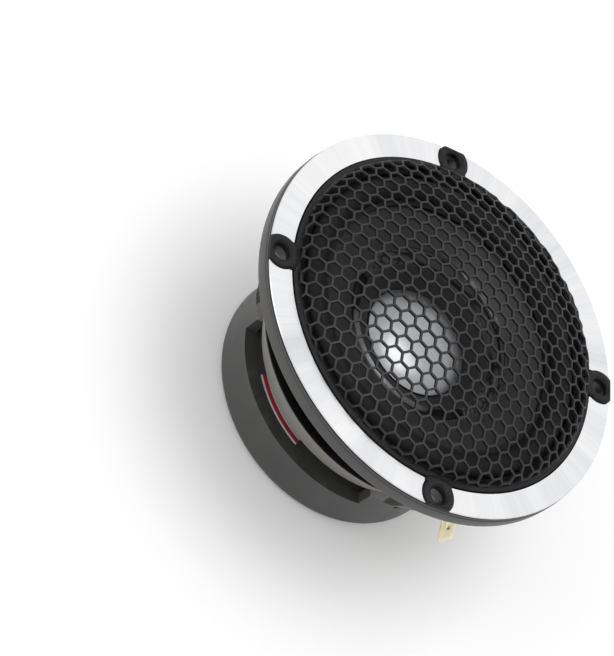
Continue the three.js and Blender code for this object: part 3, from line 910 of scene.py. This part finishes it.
def dome_profile():
    """(radius, height) points from the top of the dome to the bottom of its rim."""
    radii = np.linspace(0, SHOULDER_R, 60)
    top = [(r, DOME_EDGE_Z + DOME_RISE * (1 - (r / DOME_EDGE_R) ** 2)) for r in radii]
    shoulder = [(43.0, DOME_EDGE_Z), (43.55, DOME_EDGE_Z - 0.65), (43.8, DOME_EDGE_Z - 1.4)]
    return np.array(top + shoulder + [(44.0, ring_top + 0.3)])


profile = dome_profile()
along = np.concatenate([[0], np.cumsum(np.hypot(*np.diff(profile, axis=0).T))])
sheet_r = float(along[-1])


def lay_hexagons():
    """A honeycomb of hexagon faces that covers the flat sheet."""
    bpy.ops.object.select_all(action="DESELECT")
    bpy.ops.mesh.primitive_circle_add(vertices=6, radius=HOLE_PITCH / math.sqrt(3) * MM, fill_type="NGON")
    first = bpy.context.object
    count = int(sheet_r / HOLE_PITCH) + 2
    side = Vector((HOLE_PITCH, 0, 0)) * MM
    slant = Vector((HOLE_PITCH / 2, HOLE_PITCH * math.sqrt(3) / 2, 0)) * MM
    centre = Vector((*PATTERN_AT, 0)) * MM
    turn = Matrix.Rotation(PATTERN_TURN, 4, "Z")
    cells = []
    for row in range(-count, count + 1):
        for column in range(-2 * count, 2 * count + 1):
            place = centre + turn @ (side * column + slant * row)
            if place.length < (sheet_r + HOLE_PITCH * 0.5) * MM:
                cell = first.copy()
                cell.data = first.data.copy()
                cell.data.transform(Matrix.Translation(place) @ turn)
                bpy.context.collection.objects.link(cell)
                cells.append(cell)
    bpy.data.objects.remove(first)
    return join("grille_sheet", *cells), len(cells)


sheet, cell_count = lay_hexagons()
with editing(sheet):
    bpy.ops.mesh.remove_doubles(threshold=10 * MERGE_DISTANCE)
    bpy.ops.mesh.select_all(action="SELECT")
    bpy.ops.mesh.inset(thickness=WEB / 2 * MM, use_individual=True)
    bpy.ops.mesh.delete(type="FACE")
print("sheet:", cell_count, "holes,", len(sheet.data.polygons), "web faces")


# %% Trim, press and thicken the sheet
def press(piece):
    """Moves a flat sheet onto the dome: distance on the sheet becomes distance along the profile."""
    for vertex in piece.data.vertices:
        flat_r = min(math.hypot(vertex.co.x, vertex.co.y) / MM, sheet_r)
        angle = math.atan2(vertex.co.y, vertex.co.x)
        r = float(np.interp(flat_r, along, profile[:, 0]))
        z = float(np.interp(flat_r, along, profile[:, 1]))
        vertex.co = (r * MM * math.cos(angle), r * MM * math.sin(angle), z * MM)


for face in sheet.data.polygons:
    face.select = min(math.hypot(*sheet.data.vertices[v].co.xy) for v in face.vertices) > sheet_r * MM
with editing(sheet, select=None):
    bpy.ops.mesh.select_mode(type="FACE")
    bpy.ops.mesh.delete(type="FACE")
    bpy.ops.mesh.select_mode(type="VERT")
press(sheet)
tidy(sheet)
modify(sheet, "SOLIDIFY", thickness=SHEET * MM, offset=-1, use_even_offset=False)
modify(sheet, "BEVEL", width=ROUNDING * MM, segments=2, limit_method="ANGLE", angle_limit=math.radians(50))
sheet.name = "grille_mesh_dome"
smooth(sheet, math.radians(40))
settle(sheet, mesh_coat, "mesh_black", stands_for=["grille_mesh"])

# %% [markdown]
# ## Cone and dust cap
# The cone is a moulded film that flares from the coil to the surround, and the cap is a spun
# silver dome, steeper at its edge. A stretched sphere is quicker, but the slope of the
# cone's glossy band decides where the cap's bright arc lands. So each is a formula for
# height against radius, spun into a thin shell.

# %% Spin the cone
NECK_R, EDGE_R = 13.3, 34.3
NECK_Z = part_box("coil_former")[1].z / MM
EDGE_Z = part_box("cone")[1].z / MM
STRAIGHT_FROM, STRAIGHT_TO, STRAIGHT_SLOPE = 19.8, 23.2, 0.637
OUTER_START, OUTER_END = 0.5, 0.22
CONE_FILM = 0.6


def flare_z(r):
    """A trumpet's flare from the neck to the edge."""
    return NECK_Z + (EDGE_Z - NECK_Z) * math.sqrt(max((r - NECK_R) / (EDGE_R - NECK_R), 0))


def cone_z(r):
    """A flared neck, a straight band that mirrors the cap, and an outer part eased into the edge."""
    if r <= STRAIGHT_FROM:
        return flare_z(r)
    start = flare_z(STRAIGHT_FROM)
    if r <= STRAIGHT_TO:
        return start + STRAIGHT_SLOPE * (r - STRAIGHT_FROM)
    inner = start + STRAIGHT_SLOPE * (STRAIGHT_TO - STRAIGHT_FROM)
    span = EDGE_R - STRAIGHT_TO
    t = (r - STRAIGHT_TO) / span
    return ((2 * t**3 - 3 * t**2 + 1) * inner + (t**3 - 2 * t**2 + t) * OUTER_START * span
            + (3 * t**2 - 2 * t**3) * EDGE_Z + (t**3 - t**2) * OUTER_END * span)


cone_radii = NECK_R + (EDGE_R - NECK_R) * np.linspace(0, 1, 40) ** 1.4
front = [(r, cone_z(r)) for r in cone_radii]
back = [(r, z - CONE_FILM) for r, z in front]
cone = spun("cone_shell", back + front[::-1], steps=160)
settle(cone, cone_film, "cone_black", body="diaphragm", stands_for=["cone"])

# %% Spin the dust cap
CAP_R, CAP_RISE, CAP_FILM = 14.4, 3.8, 0.4
cap_base = cone_z(CAP_R) + 0.3


def cap_z(r):
    """A round dome, with a steeper last part from the sixth power."""
    share = r / CAP_R
    return cap_base + CAP_RISE * (1 - 0.75 * share**2 - 0.25 * share**6)


cap_radii = CAP_R * np.sin(np.linspace(0, math.pi / 2, 20))
cap_front = [(r, cap_z(r) + CAP_FILM) for r in cap_radii]
cap_back = [(r, cap_z(r)) for r in cap_radii]
cap = spun("dust_cap_dome", cap_front + cap_back[::-1], steps=128, closed=False)
settle(cap, spun_silver, "cap_silver", body="diaphragm", stands_for=["dust_cap"])

# %% [markdown]
# ## Surround, spider and leads
# These three are spun or swept like the other pieces, get no body of their own, and have their
# transforms baked into their meshes.


# %% Bake a transform into the mesh
def flex(piece):
    """Bakes the piece's transform into its mesh."""
    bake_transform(piece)


# %% Mould the surround
ROLL_R, ROLL_AT, SKIN = 3.2, 37.6, 0.6
foot_top = landing_z + SKIN
surround = spun("surround_roll", [
    (45, landing_z), (45, foot_top), *arc(ROLL_AT, foot_top, ROLL_R, 0, 180, 20),
    (33.2, foot_top), (33.1, landing_z + 0.3), (33.2, landing_z), (34.9, landing_z),
    *arc(ROLL_AT, foot_top - 0.1, ROLL_R - SKIN, 180, 0, 18), (40.3, landing_z)], steps=160)
settle(surround, rubber, "surround_black", body=None, stands_for=["surround"])
flex(surround)

# %% Press the spider
WAVES, WAVE_HEIGHT, WAVE_STEPS = 5, 0.8, 50
SPIDER_FOOT, SPIDER_CLOTH = 19.35, 0.4
COLLAR_R, WAVES_FROM, WAVES_TO = 13.3, 14.0, 28.3


def spider_line():
    """A collar that is glued to the former, five waves, and a flat foot on the hoop."""
    line = [(COLLAR_R, SPIDER_FOOT + 1.0), (COLLAR_R, SPIDER_FOOT + 0.35)]
    for share in np.linspace(0, 1, WAVE_STEPS + 1):
        wave = math.sin(TURN * WAVES * share) * WAVE_HEIGHT
        line.append((WAVES_FROM + (WAVES_TO - WAVES_FROM) * share, SPIDER_FOOT + 0.5 + wave))
    return line + [(29.2, SPIDER_FOOT), (31.2, SPIDER_FOOT)]


path = spider_line()
spider = spun("spider_cloth", path + [(r, z + SPIDER_CLOTH) for r, z in path[::-1]], steps=120)
settle(spider, cloth, "spider_cloth", body=None, stands_for=["spider"])
flex(spider)

# %% [markdown]
# ### Tinsel leads
# A tinsel lead is three strands of braid twisted together, where one plain tube would look
# too even. Each strand is a curve that winds round the lead's own line, given a round
# section and turned into a mesh.

# %% Twist the leads
LEAD_ROUTE = [(32.9, 30.2), (29.5, 29.6), (25.5, 28.9), (22, 29.6),
              (19.4, 31.8), (18.1, 34.6), (17.9, 37.6)]
TERMINAL_ANGLES = {"positive": -16.5, "negative": 4.0}
STRANDS, STRAND_R, STRAND_OFFSET, TWISTS = 3, 0.2, 0.24, 9


def strand(line, phase):
    """One strand that winds round the lead's line, as a mesh tube."""
    data = bpy.data.curves.new("strand", "CURVE")
    data.dimensions = "3D"
    spline = data.splines.new("POLY")
    spline.points.add(len(line) - 1)
    for i, (r, z) in enumerate(line):
        turn = phase + TURN * TWISTS * i / (len(line) - 1)
        side, lift = STRAND_OFFSET * math.cos(turn), STRAND_OFFSET * math.sin(turn)
        spline.points[i].co = (r * MM, side * MM, (z + lift) * MM, 1)
    data.bevel_depth = STRAND_R * MM
    data.bevel_resolution = 1
    data.use_fill_caps = True
    piece = bpy.data.objects.new("strand", data)
    bpy.context.collection.objects.link(piece)
    only(piece)
    bpy.ops.object.convert(target="MESH")
    return bpy.context.object


lead_line = eased(LEAD_ROUTE, 14)
for name, angle in TERMINAL_ANGLES.items():
    strands = [strand(lead_line, TURN * k / STRANDS) for k in range(STRANDS)]
    lead = join(f"tinsel_strands_{name}", *strands)
    lead.data.transform(Matrix.Rotation(math.radians(angle), 4, "Z"))
    tidy(lead, math.radians(60))
    settle(lead, lead_wire, "lead_copper", body=None, stands_for=[f"tinsel_lead_{name}"])
    flex(lead)

# %% [markdown]
# ## Coil, motor and small parts
# The coil and its former are spun like the rest. The plates, the screws and the terminals
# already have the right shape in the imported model, but as loose triangles with hard edges.
# Instead of modelling them again, a copy of each is merged, its flat faces are joined, and
# its edges get a small bevel, as pressed, turned and cut parts have.

# %% Coil and former
FORMER_INNER, FORMER_OUTER = 12.85, 13.15
WIRE_INNER, WIRE_MIDDLE, WIRE_EDGE = 13.2, 13.45, 0.3
former_low, former_high = (corner.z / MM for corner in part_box("coil_former"))
former = spun("former_tube", [
    (FORMER_INNER, former_low), (FORMER_OUTER, former_low),
    (FORMER_OUTER, former_high), (FORMER_INNER, former_high)], steps=120)
settle(former, former_film, "former_brown", body="diaphragm", stands_for=["coil_former"])
coil_low, coil_high = (corner.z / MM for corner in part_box("voice_coil"))
winding = [(WIRE_INNER, coil_low), *arc(WIRE_MIDDLE, coil_low + WIRE_EDGE, WIRE_EDGE, -60, 0, 2),
           *arc(WIRE_MIDDLE, coil_high - WIRE_EDGE, WIRE_EDGE, 0, 60, 2), (WIRE_INNER, coil_high)]
coil = spun("coil_winding", winding, steps=120)
settle(coil, coil_wire, "coil_copper", body="diaphragm", stands_for=["voice_coil"])


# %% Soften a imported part's edges
def softened(node, material, slot, bevel):
    """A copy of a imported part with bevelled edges, which stands for it."""
    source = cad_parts[node]
    piece = source.copy()
    piece.data = source.data.copy()
    for key in list(piece.keys()):
        del piece[key]
    piece.parent = None
    piece.name = f"{node}_soft"
    piece.data.name = piece.name
    bpy.context.collection.objects.link(piece)
    with editing(piece):
        bpy.ops.mesh.remove_doubles(threshold=MERGE_DISTANCE)
        bpy.ops.mesh.dissolve_limited(angle_limit=math.radians(1))
    modify(piece, "BEVEL", width=bevel * MM, segments=2, limit_method="ANGLE", angle_limit=math.radians(35))
    smooth(piece, math.radians(30))
    settle(piece, material, slot, stands_for=[node])


softened("back_plate", zinc_plate, "plated_steel", 0.2)
softened("magnet", ferrite, "magnet_grey", 0.4)
softened("top_plate", black_steel, "black_steel", 0.2)
softened("terminal_board", phenolic, "board_brown", 0.12)
softened("motor_label", label_film, "label_film", 0.04)
softened("board_rivet", small_metal, "rivet_steel", 0.12)
for name in TERMINAL_ANGLES:
    softened(f"terminal_{name}", blade_metal, "blade_brass", 0.1)
    softened(f"terminal_rivet_{name}", small_metal, "rivet_steel", 0.1)
for number in (1, 2, 3):
    softened(f"motor_screw_{number}", small_metal, "screw_steel", 0.1)
softened("front_gasket", foam, "gasket_black", 0.15)

# %% [markdown]
# ## Floor and light
# The part stands on a plain pale floor. Most of the light comes from the pale surroundings,
# which keep the shadows open. A panel overhead lights the cap and the mesh, one behind
# shines in the bright ring, and one at the front left lights the cup. Spot lights would give
# hard shadows, which cut up the mesh.

# %% Floor
FLOOR_GREY = (0.95, 0.95, 0.95), (0.97, 0.97, 0.97)
bpy.ops.object.select_all(action="DESELECT")
bpy.ops.mesh.primitive_plane_add(size=6, location=(0, 0, 0))
floor = bpy.context.object
floor.name = "studio_floor"
floor_paint, floor_tree, floor_shader = new_material("floor_paint")
floor_grain = effect(floor_tree, GRAIN, Scale=60.0)
floor_colour = mix(floor_tree, floor_grain.outputs["Tone"], *FLOOR_GREY)
floor_tree.links.new(floor_colour, floor_shader.inputs["Base Color"])
floor_shader.inputs["Roughness"].default_value = 0.7
floor_shader.inputs["Emission Color"].default_value = (1, 1, 1, 1)
floor_shader.inputs["Emission Strength"].default_value = 0.1
floor.data.materials.append(floor_paint)
print("floor:", [round(side) for side in floor.dimensions[:2]], "m")


# %% Lights
def panel(name, direction, distance, size, power):
    """A square area light that faces the driver from a direction, this far away."""
    bpy.ops.object.light_add(type="AREA")
    light = bpy.context.object
    light.name = name
    way = Vector(direction).normalized()
    light.location = Vector((0, 0, 0.03)) + way * distance
    light.rotation_mode = "QUATERNION"
    light.rotation_quaternion = way.to_track_quat("Z", "Y")
    light.data.shape = "SQUARE"
    light.data.size = size
    light.data.energy = power


panel("overhead_panel", (0.0, 0.06, 1.0), 0.9, 0.5, 2.0)
panel("ring_panel", (-0.1, 0.9, 0.8), 1.2, 0.7, 0.5)
panel("side_panel", (-0.9, -0.8, 0.5), 1.0, 0.5, 1.6)
world = bpy.data.worlds.new("studio")
world.use_nodes = True
surroundings = world.node_tree.nodes["Background"]
surroundings.inputs["Color"].default_value = (1, 1, 1, 1)
surroundings.inputs["Strength"].default_value = 0.76
bpy.context.scene.world = world
bpy.context.scene.view_settings.view_transform = "Standard"
